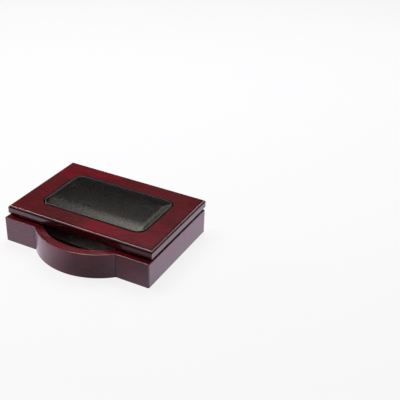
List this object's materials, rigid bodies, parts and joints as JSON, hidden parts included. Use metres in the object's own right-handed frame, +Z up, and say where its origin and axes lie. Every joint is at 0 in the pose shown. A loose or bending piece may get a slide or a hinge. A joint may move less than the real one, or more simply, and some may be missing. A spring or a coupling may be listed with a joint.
{
  "type": "memo box",
  "caption": "Desk memo box: bow-fronted wooden tray for loose note sheets on a curved lined bed, under a hinged wooden lid with a padded leather inset.",
  "frame": {"origin": "on the desk, under the middle of the straight-sided box (the bow not counted)", "axes": "+X to the right as seen from the bowed front, +Y to the hinged back, +Z up"},
  "size_m": [0.184, 0.1503, 0.0435],
  "materials": {
    "rosewood": "satin",
    "fibreboard": "matte",
    "felt": "matte",
    "flock_liner": "matte",
    "note_paper": "matte",
    "greyboard": "matte",
    "foam": "matte",
    "leather": "satin",
    "brass": "satin"
  },
  "bodies": {
    "base": {"side_rail_left": "rosewood", "side_rail_right": "rosewood", "front_rail_left": "rosewood", "front_rail_right": "rosewood", "bow_front": "rosewood", "rear_rail": "rosewood", "bottom_panel": "fibreboard", "base_felt": "felt", "bed_block": "fibreboard", "bed_liner": "flock_liner", "hinge_base_leaf_left": "brass", "hinge_base_leaf_right": "brass", "hinge_pin_left": "brass", "hinge_pin_right": "brass", "base_hinge_screws": "brass"},
    "lid": {"lid_panel": "rosewood", "pad_board": "greyboard", "pad_foam": "foam", "leather_pad": "leather", "hinge_lid_leaf_left": "brass", "hinge_lid_leaf_right": "brass", "lid_hinge_screws": "brass"},
    "sheets": {"memo_sheets": "note_paper"}
  },
  "joints": [
    {"name": "lid_hinge", "type": "hinge", "parent": "base", "child": "lid", "pos_m": [0, 0.0642, 0.0299], "axis": [-1, 0, 0], "range_deg": [0, 90]},
    {"name": "sheets_slide", "type": "slide", "parent": "base", "child": "sheets", "axis": [0, 1, 0], "range_m": [0, 0.01]}
  ]
}
